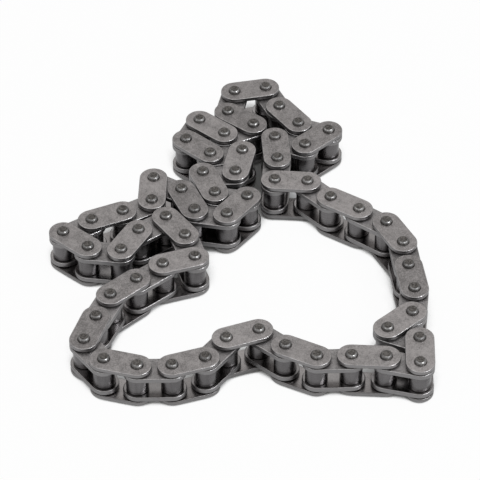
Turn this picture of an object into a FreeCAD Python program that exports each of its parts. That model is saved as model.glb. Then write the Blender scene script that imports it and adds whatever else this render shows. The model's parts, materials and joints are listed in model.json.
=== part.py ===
import FreeCAD, Part
import math
import os
from FreeCAD import Placement, Rotation, Vector

# Simplex roller timing chain of 9.525 mm pitch, an endless loop of sixty links that lies
# loosely folded on a table with every pin upright. All sizes are in millimetres, +Z is up,
# z = 0 is the table, and x = y = 0 is the middle of the ground that the chain covers.
# Outer links are two plates riveted on two pins. Inner links are two plates pressed on two
# bushes, with a loose roller round each bush. Every pin turns in the bush that it crosses.

# Driving sizes
pitch = 9.525                # from one pin to the next
roller_diameter = 6.35
inner_width = 5.72           # between the two inner plates, where the sprocket tooth runs
pin_diameter = 3.28
bush_diameter = 4.80         # outside of the bush, pressed in the inner plates
inner_plate_depth = 8.10     # across the straight sides
outer_plate_depth = 8.10
inner_plate_thickness = 1.50
outer_plate_thickness = 1.05
rivet_stand = 1.20           # pin end proud of the outer plate
rivet_bevel = 0.32           # bevel round the end of the pin
bush_stand = 0.15            # bush end proud of the inner plate

# Running clearances
pin_clearance = 0.025        # pin in bush, on the radius
roller_clearance = 0.05      # roller on bush, on the radius
roller_end_clearance = 0.06  # roller end to inner plate
side_clearance = 0.20        # bush end to outer plate

# Bearing of each link in whole degrees, anticlockwise from +X, read along the chain from the
# open pivot. Inner and outer links take turns and the first is an inner one. The last two
# links of the loop have no bearing here, because they are the two that close it.
left_bay_top_degrees = [67, 42, 40, 18]
left_hook_degrees = [108, 126, -144, -120, 173, 140]
left_crest_degrees = [33, 23, 30, 88]
middle_fold_degrees = [-31, -66, -11, 52, 170, 112, 2, 78]
upper_left_fold_degrees = [-172, 139, 66, -39, 25, 143]
upper_crest_degrees = [78, 11, -65, -54]
upper_right_fold_degrees = [-20, -138, 159, -86, -95, -4]
right_bow_degrees = [-46, -32, -36, -62, -83, -82]
right_fold_degrees = [-96, -138, -24, -91]
lower_run_degrees = [166, 177, -178, 154, 140, -160]
lower_left_bow_degrees = [-127, -162, -179, 165]
bearing_degrees = (
    left_bay_top_degrees + left_hook_degrees + left_crest_degrees + middle_fold_degrees
    + upper_left_fold_degrees + upper_crest_degrees + upper_right_fold_degrees
    + right_bow_degrees + right_fold_degrees + lower_run_degrees + lower_left_bow_degrees
)
link_count = len(bearing_degrees) + 2

# Sizes that follow from the driving ones
pin_radius = pin_diameter / 2
bush_radius = bush_diameter / 2
bush_bore_radius = pin_radius + pin_clearance
roller_bore_radius = bush_radius + roller_clearance
roller_length = inner_width - 2 * roller_end_clearance
bush_length = inner_width + 2 * (inner_plate_thickness + bush_stand)
outer_width = bush_length + 2 * side_clearance
pin_length = outer_width + 2 * (outer_plate_thickness + rivet_stand)
widest_end = max(inner_plate_depth, outer_plate_depth) / 2


def ring(outer_radius, inner_radius, length, x):
    """A plain tube on the pivot at x, centred on the chain's middle plane."""
    base = Vector(x, 0, -length / 2)
    rims = [Part.Wire(Part.makeCircle(r, base)) for r in (outer_radius, inner_radius)]
    section = Part.Face(rims)
    return section.extrude(Vector(0, 0, length))


def plate(depth, hole_radius, thickness, z):
    """A straight-sided link plate with a hole at each pivot, its lower face at z."""
    end = depth / 2
    sides = [
        Part.makeLine(Vector(0, -end, z), Vector(pitch, -end, z)),
        Part.Arc(Vector(pitch, -end, z), Vector(pitch + end, 0, z), Vector(pitch, end, z)).toShape(),
        Part.makeLine(Vector(pitch, end, z), Vector(0, end, z)),
        Part.Arc(Vector(0, end, z), Vector(-end, 0, z), Vector(0, -end, z)).toShape(),
    ]
    holes = [Part.Wire(Part.makeCircle(hole_radius, Vector(x, 0, z))) for x in (0, pitch)]
    blank = Part.Face([Part.Wire(sides)] + holes)
    return blank.extrude(Vector(0, 0, thickness))


def plate_pair(depth, hole_radius, thickness, gap):
    """Two equal plates, one each side of the middle plane with the gap between them."""
    lower = plate(depth, hole_radius, thickness, -gap / 2 - thickness)
    upper = plate(depth, hole_radius, thickness, gap / 2)
    return [lower, upper]


def turned(profile, x):
    """The solid that a half section of (radius, z) corners makes about the pivot at x."""
    corners = [Vector(x + radius, 0, z) for radius, z in profile]
    section = Part.Face(Part.makePolygon(corners + corners[:1]))
    return section.revolve(Vector(x, 0, 0), Vector(0, 0, 1), 360)


def whole_pin(x):
    """A pin through both outer plates, with both riveted ends bevelled."""
    end = pin_length / 2
    small = pin_radius - rivet_bevel
    profile = [
        (0, -end), (small, -end), (pin_radius, rivet_bevel - end),
        (pin_radius, end - rivet_bevel), (small, end), (0, end),
    ]
    return [turned(profile, x)]


def cut_pin(x):
    """The two riveted ends that are left of a pin whose pivot is open."""
    end = pin_length / 2
    face = outer_width / 2
    small = pin_radius - rivet_bevel
    upper = [(0, face), (pin_radius, face), (pin_radius, end - rivet_bevel), (small, end), (0, end)]
    lower = [(radius, -z) for radius, z in upper]
    return [turned(lower, x), turned(upper, x)]


def outer_link(open_end):
    """Plates and pins; with open_end the second pin is cut to its riveted ends."""
    plates = plate_pair(outer_plate_depth, pin_radius, outer_plate_thickness, outer_width)
    second = cut_pin(pitch) if open_end else whole_pin(pitch)
    return plates + whole_pin(0) + second


def inner_link():
    """Plates, bushes and rollers."""
    plates = plate_pair(inner_plate_depth, bush_radius, inner_plate_thickness, inner_width)
    bushes = [ring(bush_radius, bush_bore_radius, bush_length, x) for x in (0, pitch)]
    rollers = [ring(roller_diameter / 2, roller_bore_radius, roller_length, x) for x in (0, pitch)]
    return plates + bushes + rollers


def lay_out():
    """Pivot of the start of each link, with the loop closed and the chain centred."""
    pivots = [Vector(0, 0, 0)]
    for bearing in bearing_degrees:
        step = Vector(math.cos(math.radians(bearing)), math.sin(math.radians(bearing)), 0)
        pivots.append(pivots[-1] + step * pitch)
    # the last two links bridge what is left, with their pivot on the outside of the loop
    gap = pivots[0] - pivots[-1]
    rise = math.sqrt(pitch ** 2 - (gap.Length / 2) ** 2)
    outward = Vector(-gap.y, gap.x, 0).normalize()
    pivots.append(pivots[-1] + gap * 0.5 + outward * rise)
    xs = [p.x for p in pivots]
    ys = [p.y for p in pivots]
    middle = Vector((min(xs) + max(xs)) / 2, (min(ys) + max(ys)) / 2, -pin_length / 2)
    return [p - middle for p in pivots]


os.makedirs("parts", exist_ok=True)
pivots = lay_out()
for index, start in enumerate(pivots):
    finish = pivots[(index + 1) % link_count]
    bearing = math.degrees(math.atan2(finish.y - start.y, finish.x - start.x))
    number = index // 2 + 1
    if index % 2 == 0:
        name, solids = f"inner_link_{number:02d}", inner_link()
    else:
        name, solids = f"outer_link_{number:02d}", outer_link(open_end=index == link_count - 1)
    place = Placement(start, Rotation(Vector(0, 0, 1), bearing))
    link = Part.makeCompound(solids)
    link.Placement = place
    link.exportStep(f"parts/{name}.step")

span_x = max(p.x for p in pivots) - min(p.x for p in pivots) + 2 * widest_end
span_y = max(p.y for p in pivots) - min(p.y for p in pivots) + 2 * widest_end
print(f"{link_count} links, {span_x:.2f} x {span_y:.2f} x {pin_length:.2f} mm")
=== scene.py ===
import bmesh
import bpy
import json
import math
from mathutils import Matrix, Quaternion, Vector


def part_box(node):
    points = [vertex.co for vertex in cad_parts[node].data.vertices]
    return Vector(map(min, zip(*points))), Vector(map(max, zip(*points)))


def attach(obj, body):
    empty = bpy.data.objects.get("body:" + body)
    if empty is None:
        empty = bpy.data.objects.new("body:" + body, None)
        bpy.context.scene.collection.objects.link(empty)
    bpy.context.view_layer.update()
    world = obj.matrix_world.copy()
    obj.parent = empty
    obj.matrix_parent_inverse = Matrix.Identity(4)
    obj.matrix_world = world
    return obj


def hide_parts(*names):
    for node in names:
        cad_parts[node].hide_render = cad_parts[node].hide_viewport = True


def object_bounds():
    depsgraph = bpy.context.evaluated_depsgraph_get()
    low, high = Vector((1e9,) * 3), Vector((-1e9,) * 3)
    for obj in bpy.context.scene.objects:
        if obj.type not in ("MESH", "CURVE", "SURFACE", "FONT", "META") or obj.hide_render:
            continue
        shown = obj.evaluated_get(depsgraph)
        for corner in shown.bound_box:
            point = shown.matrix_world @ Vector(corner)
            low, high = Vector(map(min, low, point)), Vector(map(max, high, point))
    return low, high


# A timing chain lying in loose folds with its pins upright. Each of its sixty links is dressed
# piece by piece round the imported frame. Lengths are metres; only the "place" attribute that the
# materials read is in millimetres, because noise scales are easier to judge that way.

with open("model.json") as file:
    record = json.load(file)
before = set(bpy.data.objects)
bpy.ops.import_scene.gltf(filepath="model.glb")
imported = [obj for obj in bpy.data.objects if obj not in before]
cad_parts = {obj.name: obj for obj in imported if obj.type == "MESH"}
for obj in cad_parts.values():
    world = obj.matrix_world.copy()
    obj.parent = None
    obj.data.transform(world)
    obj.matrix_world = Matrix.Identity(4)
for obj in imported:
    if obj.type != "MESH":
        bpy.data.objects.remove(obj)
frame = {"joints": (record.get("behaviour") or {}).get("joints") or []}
cadBox = [list(corner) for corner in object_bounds()]
mm = 0.001

chain = {"links": 60, "pitch": 9.525 * mm, "middle": (cadBox[0][2] + cadBox[1][2]) / 2}


def readPivots():
    # the open pivot carries no joint: its link's box is centred between its two pivots
    spots = {joint["name"]: Vector(joint["pos_m"]) for joint in frame["joints"]}
    pivots = [spots[f"pivot_{number:02d}"] for number in range(1, chain["links"])]
    low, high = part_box("inner_link_01")
    opened = low + high - pivots[0]
    return [opened] + pivots


def readLinks():
    # name, first pivot and bearing of each link along the chain; inner and outer take turns
    pivots = readPivots()
    links = []
    for index, start in enumerate(pivots):
        finish = pivots[(index + 1) % chain["links"]]
        kind = "inner" if index % 2 == 0 else "outer"
        links.append({
            "name": f"{kind}_link_{index // 2 + 1:02d}",
            "kind": kind,
            "start": Vector((start.x, start.y, chain["middle"])),
            "bearing": math.atan2(finish.y - start.y, finish.x - start.x),
            "seed": index,
        })
    return links


links = readLinks()


# Node trees, for shaders and for geometry alike

class Flow:
    # one socket of a node tree; an expression on it adds the nodes that work it out
    def __init__(self, tree, socket=None):
        self.tree = tree
        self.socket = socket

    def node(self, kind, settings=None, sockets=None, out=0):
        made = self.tree.nodes.new(kind)
        for name, value in (settings or {}).items():
            setattr(made, name, value)
        for name, value in (sockets or {}).items():
            if isinstance(value, (Flow, list)):
                for source in value if isinstance(value, list) else [value]:
                    self.tree.links.new(source.socket, made.inputs[name])
            else:
                made.inputs[name].default_value = value
        return Flow(self.tree, made.outputs[out] if made.outputs else None)

    def math(self, operation, *values):
        return self.node("ShaderNodeMath", {"operation": operation}, dict(enumerate(values)))

    def __add__(self, other):
        return self.math("ADD", self, other)

    def __radd__(self, other):
        return self.math("ADD", other, self)

    def __sub__(self, other):
        return self.math("SUBTRACT", self, other)

    def __rsub__(self, other):
        return self.math("SUBTRACT", other, self)

    def __mul__(self, other):
        return self.math("MULTIPLY", self, other)

    def __pow__(self, other):
        return self.math("POWER", self, other)

    def __abs__(self):
        return self.math("ABSOLUTE", self)

    def step(self, low, high):
        # 0 below low, 1 above high and smooth between; it falls instead where low is the larger
        if low > high:
            return 1 - self.step(high, low)
        ends = {"Value": self, "From Min": low, "From Max": high}
        return self.node("ShaderNodeMapRange", {"interpolation_type": "SMOOTHSTEP"}, ends)

    def blend(self, first, second, amount):
        # the first colour turned to the second one by amount
        first, second = (
            value if isinstance(value, Flow) else (*value, 1) for value in (first, second))
        colours = {0: amount, 6: first, 7: second}
        return self.node("ShaderNodeMix", {"data_type": "RGBA"}, colours, out=2)


# Finishes

def newFinish(name):
    material = bpy.data.materials.new(name)
    material.use_nodes = True
    material.node_tree.nodes.clear()
    return material, Flow(material.node_tree)


def finishWith(flow, colour, roughness, height, bumpDepth):
    # every steel ends here; height is in shares of bumpDepth, which is in millimetres
    bump = flow.node("ShaderNodeBump", {}, {"Strength": 1.0, "Distance": bumpDepth * mm, "Height": height})
    shader = flow.node("ShaderNodeBsdfPrincipled", {}, {
        "Base Color": colour, "Metallic": 1.0, "Roughness": roughness, "Normal": bump})
    flow.node("ShaderNodeOutputMaterial", {}, {"Surface": shader})


def readPlace(flow):
    # millimetres in the piece's own axes, and a number from 0 to 1 that each copy draws for itself
    place = flow.node("ShaderNodeAttribute", {"attribute_name": "place"}, {}, out=1)
    luck = flow.node("ShaderNodeAttribute", {"attribute_name": "luck"}, {}, out=2)
    parts = flow.node("ShaderNodeSeparateXYZ", {}, {0: place})
    x, y, z = (Flow(flow.tree, parts.socket.node.outputs[axis]) for axis in range(3))
    return x, y, z, luck


luckShift = (91.7, 37.3, -53.1)  # how far apart in the noise the luckiest and the least lucky copy lie


def noiseAt(flow, x, y, z, luck, scales, detail=3.0, roughness=0.55):
    # scales are repeats per millimetre along the three axes; luck moves each copy to its own patch
    where = flow.node("ShaderNodeCombineXYZ", {}, {
        axis: along * scales[axis] + luck * luckShift[axis] for axis, along in enumerate((x, y, z))})
    return flow.node("ShaderNodeTexNoise", {}, {
        "Vector": where, "Scale": 1.0, "Detail": detail, "Roughness": roughness})


plateNoise = {
    "cloud": {"scales": (0.30, 0.30, 0.30), "detail": 2.0},
    "mottle": {"scales": (1.0, 1.0, 1.0), "detail": 4.0, "roughness": 0.65},
    "drawn": {"scales": (0.5, 0.5, 6.0), "detail": 2.0},
    "grain": {"scales": (3.2, 3.2, 3.2), "detail": 3.0, "roughness": 0.75},
    "brushed": {"scales": (0.7, 6.0, 2.0), "detail": 2.0},
    "spots": {"scales": (1.3, 1.3, 1.3), "detail": 5.0, "roughness": 0.7},
}
plateBands = {
    # where a zone begins and is full, in millimetres: height above the inner face
    "innerFace": (0.03, 0.01), "outerHalf": (0.4, 0.6), "innerEdge": (0.30, 0.12), "tornFade": 0.08,
    # in from the rim
    "rubbedIn": (0.20, 0.34), "wall": (0.10, 0.03), "roundIn": (0.02, 0.08), "roundOut": (0.30, 0.16),
    # out from the hole
    "smudged": (3.2, 0.2), "pinShadeRing": (0.30, 0.12),
}


def plateSteel(name, look):
    material, flow = newFinish(name)
    x, y, z, luck = readPlace(flow)
    band = plateBands
    pitch = chain["pitch"] / mm
    beyond = abs(x - pitch / 2) - pitch / 2  # past the nearer pivot, or short of it where negative
    overrun = beyond.math("MAXIMUM", beyond, 0.0)
    toPin = (beyond ** 2 + y * y) ** 0.5 - look["hole"]
    toRim = look["depth"] / 2 - (overrun * overrun + y * y) ** 0.5
    cloud, mottle, drawn, grain, brushed, spots = (
        noiseAt(flow, x, y, z, luck, **noise) for noise in plateNoise.values())

    # the face, with its inner side rubbed smooth where the rollers run
    rubbed = z.step(*band["innerFace"]) * toRim.step(*band["rubbedIn"])
    uneven = (cloud - 0.5) * 1.1 + (mottle - 0.5) * 1.3 + (grain - 0.5) * 3.0 + (brushed - 0.5) * 0.6
    tone = 0.5 + uneven * (1 - rubbed * 0.6) + (luck - 0.5) * look["spread"]
    colour = flow.blend(look["dark"], look["pale"], tone)
    smudge = spots.step(0.56, 0.70) * toPin.step(*band["smudged"]) * look["smudge"]
    colour = flow.blend(colour, look["grimeAndShade"], smudge)

    # the wall, darker: partly the sheared edge's own tone, partly painted shade
    wall = toRim.step(*band["wall"])
    colour = flow.blend(colour, look["shearedAndShade"], wall * (0.45 + drawn * 0.8))
    # the edges of both faces, lighter and smoother: partly wear, partly painted highlight
    edge = toRim.step(*band["roundIn"]) * toRim.step(*band["roundOut"])
    rolled = edge * z.step(*band["outerHalf"])
    struck = edge * z.step(*band["innerEdge"]) * look["struck"]
    polishAndHighlight = rolled * mottle.step(0.40, 0.60)
    colour = flow.blend(colour, look["wearAndHighlight"], rolled * 0.25 + polishAndHighlight * 0.6 + struck * 0.6)
    # the edge at the inner face, darker: partly the torn zone's own tone, partly painted shade in the gap
    # between the plates
    low = z.step(look["tornAndShade"] + band["tornFade"], look["tornAndShade"] - band["tornFade"])
    tornAndShade = low * toRim.step(*band["roundOut"]) * look["tornShade"]
    colour = flow.blend(colour, look["grimeAndShade"], tornAndShade)
    # a ring of painted shade round each pin hole, over the countersink
    pinShadeRing = toPin.step(*band["pinShadeRing"])
    colour = flow.blend(colour, look["grimeAndShade"], pinShadeRing * 0.7)

    patchy = ((grain - 0.5) * 0.20 + (mottle - 0.5) * 0.20) * (1 - rubbed * 0.7)
    polished = (polishAndHighlight + struck) * 0.20 + rubbed * look["rubbed"]
    roughness = look["roughness"] + patchy + smudge * 0.1 + tornAndShade * 0.2 - polished
    finishWith(flow, colour, roughness, grain * 0.6 + brushed * 0.4, look["bump"])
    return material


turnedNoise = {
    "rings": {"scales": (0.15, 0.15, 9.0), "detail": 2.0},
    "streaks": {"scales": (1.1, 1.1, 0.12), "detail": 3.0},
    "grain": {"scales": (5.0, 5.0, 5.0), "detail": 3.0, "roughness": 0.7},
}
rivetNoise = {
    "fleck": {"scales": (1.9, 1.9, 1.9), "detail": 4.0, "roughness": 0.8},
    "nicks": {"scales": (1.6, 1.6, 1.6), "detail": 3.0, "roughness": 0.7},
}
rivetBands = {
    # in millimetres: down from the pin's end, past its bevel, and out from the disc's border
    "discDown": (0.30, 0.15), "sidePast": (-0.04, 0.20), "discFade": 0.08,
}


def turnedSteel(name, look):
    # pins, bushes and rollers: round about their own axis, with tool marks that run round them
    material, flow = newFinish(name)
    x, y, z, luck = readPlace(flow)
    radius = (x * x + y * y) ** 0.5
    toEnd = look["length"] / 2 - abs(z)
    rings, streaks, grain = (
        noiseAt(flow, x, y, z, luck, **noise) for noise in turnedNoise.values())

    tone = rings * 0.5 + streaks * 0.6 + grain * 0.3 + luck * look["spread"] - 0.3
    colour = flow.blend(look["dark"], look["pale"], tone)
    # darker near both ends, in streaks
    endDarkening = toEnd.step(look["endBand"], 0.0)
    colour = flow.blend(colour, look["grimeAndShade"], endDarkening * streaks.step(0.35, 0.6) * look["endDarkening"])
    roughness = look["roughness"] + (rings - 0.5) * 0.15 + (grain - 0.5) * 0.12 + endDarkening * 0.05
    if "disc" in look:
        # a riveted end: dull and flecked inside, with painted glints on nicks of its bevel and side, and its
        # side darker lower down: partly grime, partly painted shade
        band, border = rivetBands, look["discRadius"]
        fleck, nicks = (noiseAt(flow, x, y, z, luck, **noise) for noise in rivetNoise.values())
        inside = radius.step(border + band["discFade"], border - band["discFade"])
        disc = toEnd.step(*band["discDown"]) * inside
        flecked = flow.blend(look["disc"], look["fleck"], 0.5 + (fleck - 0.5) * 5.0)
        colour = flow.blend(colour, flecked, disc * 0.92)
        # the side below the bevel, darker: partly grime, partly painted shade
        side = toEnd.step(*(look["bevel"] + past for past in band["sidePast"]))
        colour = flow.blend(colour, look["grimeAndShade"], side * streaks * 0.3)
        # painted glints: bright colour on the nicks, which are also made smoother
        glint = nicks.step(0.54, 0.62) * (1 - disc)
        colour = flow.blend(colour, look["glint"], glint)
        roughness = roughness + disc * 0.10 - side * 0.12 - glint * 0.16
    finishWith(flow, colour, roughness, rings * 0.5 + grain * 0.5, look["bump"])
    return material


# Shapes that a link is made of, each in its own axes with a pivot at x = 0

facets = {
    # round a plate's end, a turned piece and the section of an edge
    "plateEnd": 16, "pin": 24, "bush": 24, "roller": 32, "plateEdge": 4, "tubeEdge": 3, "boreEdge": 2,
}
sharpFrom = math.radians(40)


def loopStrip(mesh, first, second):
    # a closed band of faces between two loops of as many points
    a = [mesh.verts.new(point) for point in first]
    b = [mesh.verts.new(point) for point in second]
    for i in range(len(a)):
        j = (i + 1) % len(a)
        mesh.faces.new((a[i], a[j], b[j], b[i]))


def closeShape(name, mesh):
    bmesh.ops.remove_doubles(mesh, verts=mesh.verts, dist=1e-7)
    bmesh.ops.recalc_face_normals(mesh, faces=mesh.faces)
    shape = bpy.data.meshes.new(name)
    mesh.to_mesh(shape)
    mesh.free()
    shape.shade_smooth()
    shape.set_sharp_from_angle(angle=sharpFrom)
    place = shape.attributes.new("place", "FLOAT_VECTOR", "POINT")
    place.data.foreach_set("vector", [c / mm for v in shape.vertices for c in v.co])
    return bpy.data.objects.new(name, shape)


def rounding(radius, steps):
    # (inset, drop) pairs of a quarter round, from the flat face down to the wall
    turns = [math.pi / 2 / steps * i for i in range(steps + 1)]
    return [(radius * (1 - math.sin(a)), radius * (1 - math.cos(a))) for a in turns]


def plateShape(name, size):
    # inner face at z = 0 and outer face up; holes at x = 0 and one pitch on
    steps = facets["plateEnd"]
    pitch, half, thick = chain["pitch"], size["depth"] / 2, size["thickness"]
    margin = 0.05 * mm  # a narrow flat band keeps the shading of the rounds off the faces

    def outline(inset, z):
        r = half - inset
        points = []
        for centre, first in ((pitch, -90), (0.0, 90)):
            for i in range(steps + 1):
                a = math.radians(first + 180 * i / steps)
                points.append(Vector((centre + r * math.cos(a), r * math.sin(a), z)))
            points.append(Vector((pitch / 2, r if centre else -r, z)))
        return points

    def hole(x, radius, z):
        # it starts level with the start of the outline's arc round it, and runs the same way
        r = radius if x else -radius
        turns = [math.pi / steps * i for i in range(2 * steps)]
        return [Vector((x + r * math.sin(a), -r * math.cos(a), z)) for a in turns]

    def halfFace(x, inset, z):
        # the face's border round one hole: its arc, then back along the plate's middle line
        ring = outline(inset, z)
        first = 0 if x else steps + 2
        arc = ring[first:first + steps + 1]
        top, bottom = ring[(first + steps + 1) % len(ring)], ring[first - 1]
        back = [top.lerp(bottom, i / (steps - 2)) for i in range(steps - 1)]
        return arc + back

    mesh = bmesh.new()
    rim = [(inset, thick - drop) for inset, drop in rounding(size["rimRound"], facets["plateEdge"])]
    foot = rounding(size["footRound"], facets["plateEdge"])[::-1]
    flat = size["rimRound"] + margin
    under = size["footRound"] + margin
    bands = [(flat, thick)] + rim + foot + [(under, 0.0)]
    for (insetA, zA), (insetB, zB) in zip(bands, bands[1:]):
        loopStrip(mesh, outline(insetA, zA), outline(insetB, zB))
    sink, deep = size["sinkWidth"], size["sinkDepth"]
    bore = [
        (size["hole"] + sink + 0.06 * mm, thick), (size["hole"] + sink, thick),
        (size["hole"] + sink * 0.45, thick - deep * 0.35), (size["hole"], thick - deep), (size["hole"], 0.0),
    ]
    for x in (0.0, pitch):
        for (rA, zA), (rB, zB) in zip(bore, bore[1:]):
            loopStrip(mesh, hole(x, rA, zA), hole(x, rB, zB))
        loopStrip(mesh, hole(x, bore[0][0], thick), halfFace(x, flat, thick))
        loopStrip(mesh, hole(x, bore[-1][0], 0.0), halfFace(x, under, 0.0))
    return closeShape(name, mesh)


def turnedShape(name, profiles, around):
    # a profile is (radius, z) points; it comes back to its first point or has both ends on the axis
    turns = [math.tau * i / around for i in range(around)]
    mesh = bmesh.new()
    for profile in profiles:
        loops = [[Vector((r * math.cos(a), r * math.sin(a), z)) for a in turns] for r, z in profile]
        for first, second in zip(loops, loops[1:]):
            loopStrip(mesh, first, second)
    return closeShape(name, mesh)


def tubeProfile(size):
    # outside and bore with rounded ends, all the way round the section
    r, b, h = size["radius"], size["bore"], size["length"] / 2
    outer = rounding(size["round"], facets["tubeEdge"])[::-1]
    inner = rounding(size["boreRound"], facets["boreEdge"])
    upper = [(r - inset, h - drop) for inset, drop in outer] + [(b + inset, h - drop) for inset, drop in inner]
    lower = [(radius, -z) for radius, z in reversed(upper)]
    return upper + lower + upper[:1]


outerPlate = {
    "depth": 8.10 * mm, "thickness": 1.27 * mm, "gap": 9.42 * mm, "hole": 1.64 * mm,
    "rimRound": 0.20 * mm, "footRound": 0.20 * mm, "sinkWidth": 0.12 * mm, "sinkDepth": 0.10 * mm,
}
innerPlate = {
    "depth": 8.10 * mm, "thickness": 1.50 * mm, "gap": 5.72 * mm, "hole": 2.40 * mm,
    "rimRound": 0.24 * mm, "footRound": 0.30 * mm, "sinkWidth": 0.10 * mm, "sinkDepth": 0.10 * mm,
}
pin = {
    "radius": 1.64 * mm, "length": 13.92 * mm, "bevel": 0.34 * mm,
    "dishRadius": 1.04 * mm, "dishDepth": 0.09 * mm,
}
bush = {
    "radius": 2.40 * mm, "bore": 1.665 * mm, "length": 9.02 * mm,
    "round": 0.09 * mm, "boreRound": 0.06 * mm,
}
roller = {
    "radius": 3.175 * mm, "bore": 2.45 * mm, "length": 5.60 * mm,
    "round": 0.28 * mm, "boreRound": 0.10 * mm,
}


def pinProfile(low, high):
    # pole to pole; an end that is riveted has a bevel and a shallow dish, any other is cut square
    r, bevel, dish, deep = pin["radius"], pin["bevel"], pin["dishRadius"], pin["dishDepth"]
    corners = [  # radius, and depth below the end
        (0.0, deep), (dish * 0.6, deep * 0.92), (dish * 0.9, deep * 0.35), (dish + 0.05 * mm, 0.0),
        (r - bevel - 0.04 * mm, 0.0), (r - bevel * 0.92, 0.05 * mm),
        (r - 0.05 * mm, bevel * 0.85), (r, bevel + 0.03 * mm),
    ]

    def riveted(sign):
        return [(radius, sign * (pin["length"] / 2 - depth)) for radius, depth in corners]

    lower = riveted(-1) if low is None else [(0.0, low), (r, low)]
    upper = riveted(1) if high is None else [(0.0, high), (r, high)]
    return lower + upper[::-1]


# Geometry trees that seat a shape twice on a link

def newTree(name, inputs):
    # an empty tree, a flow to fill it with and its inputs by name
    tree = bpy.data.node_groups.new(name, "GeometryNodeTree")
    face = tree.interface
    for label, kind, value in inputs:
        socket = face.new_socket(name=label, in_out="INPUT", socket_type="NodeSocket" + kind)
        if value is not None:
            socket.default_value = value
    face.new_socket(name="Geometry", in_out="OUTPUT", socket_type="NodeSocketGeometry")
    flow = Flow(tree)
    source = tree.nodes.new("NodeGroupInput")
    given = {label: Flow(tree, source.outputs[label]) for label, kind, value in inputs}
    return tree, flow, given


def stand(flow, shape, points, turn):
    # a copy of the shape on each point
    source = flow.node("GeometryNodeObjectInfo", {}, {"Object": shape}, out="Geometry")
    return flow.node("GeometryNodeInstanceOnPoints", {}, {
        "Points": points, "Instance": source, "Rotation": turn})


def seatOnLink(flow, given, standing):
    # what stands in the link's own axes gets its luck, goes to its place, is made real and gets its steel
    draw = flow.node("FunctionNodeRandomValue", {"data_type": "FLOAT"}, {"Seed": given["Seed"]}, out=1)
    marked = flow.node(
        "GeometryNodeStoreNamedAttribute", {"data_type": "FLOAT", "domain": "INSTANCE"},
        {"Geometry": standing, "Name": "luck", "Value": draw})
    heading = flow.node("ShaderNodeCombineXYZ", {}, {"Z": given["Bearing"]})
    seated = flow.node("GeometryNodeTransform", {}, {
        "Geometry": marked, "Translation": given["Start"], "Rotation": heading})
    real = flow.node("GeometryNodeRealizeInstances", {}, {"Geometry": seated})
    steel = flow.node("GeometryNodeSetMaterial", {}, {"Geometry": real, "Material": given["Steel"]})
    flow.node("NodeGroupOutput", {}, {"Geometry": steel})


linkInputs = [
    ("Shape", "Object", None), ("Start", "Vector", None), ("Bearing", "Float", 0.0),
    ("Seed", "Int", 0), ("Steel", "Material", None),
]


def platePairTree():
    # one plate above the middle and the same plate turned over below it, with the gap between them
    tree, flow, given = newTree("platePair", linkInputs + [("Gap", "Float", 0.005)])
    up = flow.node("ShaderNodeCombineXYZ", {}, {"Z": given["Gap"] * 0.5})
    down = flow.node("ShaderNodeCombineXYZ", {}, {"Z": given["Gap"] * -0.5})
    line = flow.node(
        "GeometryNodeMeshLine", {"mode": "END_POINTS"}, {"Count": 2, "Start Location": up, "Offset": down})
    index = flow.node("GeometryNodeInputIndex")
    over = flow.node("ShaderNodeCombineXYZ", {}, {"X": index * math.pi})
    seatOnLink(flow, given, stand(flow, given["Shape"], line, over))
    return tree


farSeed = 500  # added to a link's seed for what stands on its second pivot


def pivotPairTree():
    # one turned piece on each pivot, each at an angle of its own about its axis
    extra = [("Far shape", "Object", None), ("Pitch", "Float", 0.01)]
    tree, flow, given = newTree("pivotPair", linkInputs + extra)
    standing = []
    for label, share in (("Shape", 0.0), ("Far shape", 1.0)):
        spot = flow.node("ShaderNodeCombineXYZ", {}, {"X": given["Pitch"] * share})
        point = flow.node("GeometryNodeMeshLine", {}, {"Count": 1, "Start Location": spot})
        drawn = {3: math.tau, "Seed": given["Seed"] + farSeed * share}
        angle = flow.node("FunctionNodeRandomValue", {"data_type": "FLOAT"}, drawn, out=1)
        turn = flow.node("ShaderNodeCombineXYZ", {}, {"Z": angle})
        standing.append(stand(flow, given[label], point, turn))
    seatOnLink(flow, given, flow.node("GeometryNodeJoinGeometry", {}, {"Geometry": standing}))
    return tree


def dress(name, tree, link, values):
    # a host object whose tree gives the piece; its inputs are set before anything evaluates it
    host = bpy.data.objects.new(name, bpy.data.meshes.new(name))
    modifier = host.modifiers.new("seat", "NODES")
    modifier.node_group = tree
    values = {
        "Start": link["start"], "Bearing": link["bearing"], "Seed": link["seed"],
        "Pitch": chain["pitch"], **values}
    for item in tree.interface.items_tree:
        if item.in_out == "INPUT" and item.name in values:
            modifier[item.identifier] = values[item.name]
    bpy.context.scene.collection.objects.link(host)
    return host


def settle(piece, link):
    # the tree's result as a plain mesh, riding on its link in place of the CAD solids
    graph = bpy.context.evaluated_depsgraph_get()
    shape = bpy.data.meshes.new_from_object(
        piece.evaluated_get(graph), preserve_all_data_layers=True, depsgraph=graph)
    piece.modifiers.clear()
    piece.data = shape
    shape.name = piece.name
    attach(piece, link["name"])
    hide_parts(link["name"])
    link["kind"] + "_link_steel"


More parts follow.
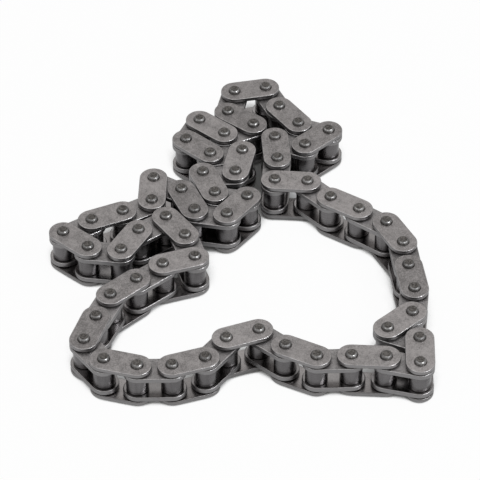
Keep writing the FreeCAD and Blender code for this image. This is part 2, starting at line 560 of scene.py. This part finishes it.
# each steel's grime colour serves both for stains and for painted shade at edges, pin holes and pin sides
outerSteel = plateSteel("outerPlateSteel", {
    "depth": 8.10, "hole": 1.64, "spread": 0.50, "smudge": 0.6, "roughness": 0.42, "bump": 0.012,
    "dark": (0.211, 0.199, 0.195), "pale": (0.463, 0.435, 0.427), "wearAndHighlight": (0.52, 0.50, 0.495),
    "shearedAndShade": (0.24, 0.235, 0.238), "grimeAndShade": (0.070, 0.064, 0.061),
    "tornAndShade": 0.26, "tornShade": 0.35, "struck": 0.5, "rubbed": 0.14,
})
innerSteel = plateSteel("innerPlateSteel", {
    "depth": 8.10, "hole": 2.40, "spread": 0.50, "smudge": 0.6, "roughness": 0.44, "bump": 0.012,
    "dark": (0.197, 0.188, 0.185), "pale": (0.434, 0.413, 0.408), "wearAndHighlight": (0.52, 0.50, 0.495),
    "shearedAndShade": (0.24, 0.235, 0.238), "grimeAndShade": (0.065, 0.060, 0.058),
    "tornAndShade": 0.16, "tornShade": 0.1, "struck": 0.55, "rubbed": 0.24,
})
pinSteel = turnedSteel("pinSteel", {
    "length": 13.92, "spread": 0.5, "endBand": 1.3, "endDarkening": 0.0, "roughness": 0.46, "bump": 0.010,
    "dark": (0.115, 0.112, 0.110), "pale": (0.265, 0.258, 0.252), "grimeAndShade": (0.060, 0.055, 0.050),
    "disc": (0.050, 0.045, 0.041), "fleck": (0.222, 0.206, 0.192), "discRadius": 1.19, "bevel": 0.36,
    "glint": (0.43, 0.419, 0.408),
})
bushSteel = turnedSteel("bushSteel", {
    "length": 9.02, "spread": 0.2, "endBand": 0.6, "endDarkening": 0.5, "roughness": 0.35, "bump": 0.008,
    "dark": (0.16, 0.155, 0.15), "pale": (0.38, 0.37, 0.36), "grimeAndShade": (0.03, 0.03, 0.03),
})
rollerSteel = turnedSteel("rollerSteel", {
    "length": 5.60, "spread": 0.2, "endBand": 0.5, "endDarkening": 0.3, "roughness": 0.28, "bump": 0.030,
    "dark": (0.075, 0.072, 0.074), "pale": (0.222, 0.213, 0.216), "grimeAndShade": (0.035, 0.033, 0.033),
})

stub = outerPlate["gap"] / 2  # the pin of the open pivot is only two riveted ends
shapes = {
    "outerPlate": plateShape("outerPlateShape", outerPlate),
    "innerPlate": plateShape("innerPlateShape", innerPlate),
    "bush": turnedShape("bushShape", [tubeProfile(bush)], facets["bush"]),
    "roller": turnedShape("rollerShape", [tubeProfile(roller)], facets["roller"]),
    "pin": turnedShape("pinShape", [pinProfile(None, None)], facets["pin"]),
    "cutPin": turnedShape("cutPinShape", [pinProfile(stub, None), pinProfile(None, -stub)], facets["pin"]),
}
for label, shape in shapes.items():
    print("shape:", label, len(shape.data.polygons), "faces")

platePair = platePairTree()
pivotPair = pivotPairTree()


# What each kind of link is dressed in: the name, the tree and its values of each piece

def bothPlates(shape, size, steel):
    return "plates", platePair, {"Shape": shapes[shape], "Gap": size["gap"], "Steel": steel}


def bothTurned(label, near, far, steel):
    return label, pivotPair, {"Shape": shapes[near], "Far shape": shapes[far], "Steel": steel}


innerParts = [
    bothPlates("innerPlate", innerPlate, innerSteel),
    bothTurned("bushes", "bush", "bush", bushSteel),
    bothTurned("rollers", "roller", "roller", rollerSteel),
]
outerParts = [
    bothPlates("outerPlate", outerPlate, outerSteel), bothTurned("pins", "pin", "pin", pinSteel)]
openParts = [
    bothPlates("outerPlate", outerPlate, outerSteel), bothTurned("pins", "pin", "cutPin", pinSteel)]
pieces = []
for link in links:
    parts = openParts if link is links[-1] else outerParts if link["kind"] == "outer" else innerParts
    for label, tree, values in parts:
        pieces.append((dress(link["name"] + "_" + label, tree, link, values), link))
bpy.context.view_layer.update()
for piece, link in pieces:
    settle(piece, link)
print("dressed:", len(pieces), "pieces,", sum(len(p.data.polygons) for p, link in pieces), "faces")


# Floor, light and camera

studio = {
    "floorReach": 3.0, "floorColour": (0.66, 0.66, 0.65), "zenith": 0.80, "horizon": 0.12,
    # plain white in the floor: its share where seen and where mirrored, and how open it has to be for it
    "shown": 0.96, "shownOver": (0.12, 0.29), "shownAhead": (0.57, 0.74),
    "mirrored": 0.68, "mirroredOver": (0.30, 0.75), "mirroredLeast": 0.12,
    # how far that openness looks, and which way it looks towards the viewer
    "overReach": 14 * mm, "aheadReach": 12 * mm, "ahead": {"Y": -0.85, "Z": 0.53},
}
lamps = {
    "keyBox": {"azimuth": 62, "elevation": 46, "distance": 0.9, "size": (0.34, 0.26), "power": 3.6},
    "fillBox": {"azimuth": -50, "elevation": 55, "distance": 1.0, "size": (0.5, 0.4), "power": 0.75},
}
lampColour = (0.92, 0.96, 1.0)


def seenShare(flow):
    # how much of the floor is plain white: most of it in the open, and none deep in a fold of the chain;
    # it has to be open towards the viewer too, or the slits between the plates would show it white
    path = flow.node("ShaderNodeLightPath").socket.node
    rays = ("Is Camera Ray", "Is Glossy Ray", "Is Transmission Ray")
    camera, glossy, through = (Flow(flow.tree, path.outputs[name]) for name in rays)
    forward = flow.node("ShaderNodeCombineXYZ", {}, studio["ahead"])
    up = {"Distance": studio["overReach"]}
    out = {"Distance": studio["aheadReach"], "Normal": forward}
    over, ahead = (
        flow.node("ShaderNodeAmbientOcclusion", {"samples": 16}, reach, out="AO") for reach in (up, out))
    seen = camera * studio["shown"] * over.step(*studio["shownOver"]) * ahead.step(*studio["shownAhead"])
    least = studio["mirroredLeast"]
    clear = least + over.step(*studio["mirroredOver"]) * (1 - least)
    return seen + (glossy + through) * studio["mirrored"] * clear


def makeFloor():
    reach = studio["floorReach"]
    shape = bpy.data.meshes.new("floor")
    corners = [(-reach, -reach, 0), (reach, -reach, 0), (reach, reach, 0), (-reach, reach, 0)]
    shape.from_pydata(corners, [], [(0, 1, 2, 3)])
    floor = bpy.data.objects.new("floor", shape)
    bpy.context.scene.collection.objects.link(floor)
    material, flow = newFinish("floorPaper")
    paper = flow.node("ShaderNodeBsdfDiffuse", {}, {"Color": (*studio["floorColour"], 1)})
    shown = flow.node("ShaderNodeEmission", {}, {"Color": (1, 1, 1, 1), "Strength": 1.0})
    mixed = flow.node("ShaderNodeMixShader", {}, {0: seenShare(flow), 1: paper, 2: shown})
    flow.node("ShaderNodeOutputMaterial", {}, {"Surface": mixed})
    shape.materials.append(material)


def makeWorld():
    world = bpy.data.worlds.new("studio")
    bpy.context.scene.world = world
    world.use_nodes = True
    world.node_tree.nodes.clear()
    flow = Flow(world.node_tree)
    up = flow.node("ShaderNodeTexCoord", {}, {}, out="Generated")
    rise = flow.node("ShaderNodeSeparateXYZ", {}, {0: up}, out=2)
    level = studio["horizon"] + rise.step(0.0, 0.75) * (studio["zenith"] - studio["horizon"])
    path = flow.node("ShaderNodeLightPath", {}, {}, out="Is Camera Ray")
    sky = flow.node("ShaderNodeBackground", {}, {"Color": (1, 1, 1, 1), "Strength": level + path * (1 - level)})
    flow.node("ShaderNodeOutputWorld", {}, {"Surface": sky})


def lookBack(azimuth, elevation):
    # from the chain to a lamp or the camera, in degrees; azimuth 0 is on the viewer's side
    a, e = math.radians(azimuth), math.radians(elevation)
    return Vector((math.sin(a) * math.cos(e), -math.cos(a) * math.cos(e), math.sin(e)))


def softBox(name, azimuth, elevation, distance, size, power):
    # an area lamp that looks at the chain
    back = lookBack(azimuth, elevation)
    lamp = bpy.data.lights.new(name, "AREA")
    lamp.shape = "RECTANGLE"
    lamp.size, lamp.size_y = size
    lamp.energy = power
    lamp.color = lampColour
    box = bpy.data.objects.new(name, lamp)
    box.location = back * distance
    box.rotation_euler = (-back).to_track_quat("-Z", "Y").to_euler()
    bpy.context.scene.collection.objects.link(box)


def makeCamera():
    # found by fitting the pitch of the upper pins in the photo: a long lens from 43 degrees up
    view = {
        "elevation": 43.02, "azimuth": 0.17, "roll": -0.12, "distance": 866.5 * mm, "lens": 228.40,
        "target": (0.50 * mm, -9.22 * mm, 13.38 * mm)}
    back = lookBack(view["azimuth"], view["elevation"])
    data = bpy.data.cameras.new("camera")
    data.lens = view["lens"]
    data.sensor_width = 36
    data.clip_start, data.clip_end = 0.01, 20
    camera = bpy.data.objects.new("camera", data)
    camera.location = Vector(view["target"]) + back * view["distance"]
    turn = (-back).to_track_quat("-Z", "Y") @ Quaternion((0, 0, 1), math.radians(view["roll"]))
    camera.rotation_euler = turn.to_euler()
    bpy.context.scene.collection.objects.link(camera)
    bpy.context.scene.camera = camera


makeFloor()
makeWorld()
for name, lamp in lamps.items():
    softBox(name, **lamp)
makeCamera()
bpy.context.scene.view_settings.view_transform = "Standard"
print("studio: floor, world, lamps and camera")
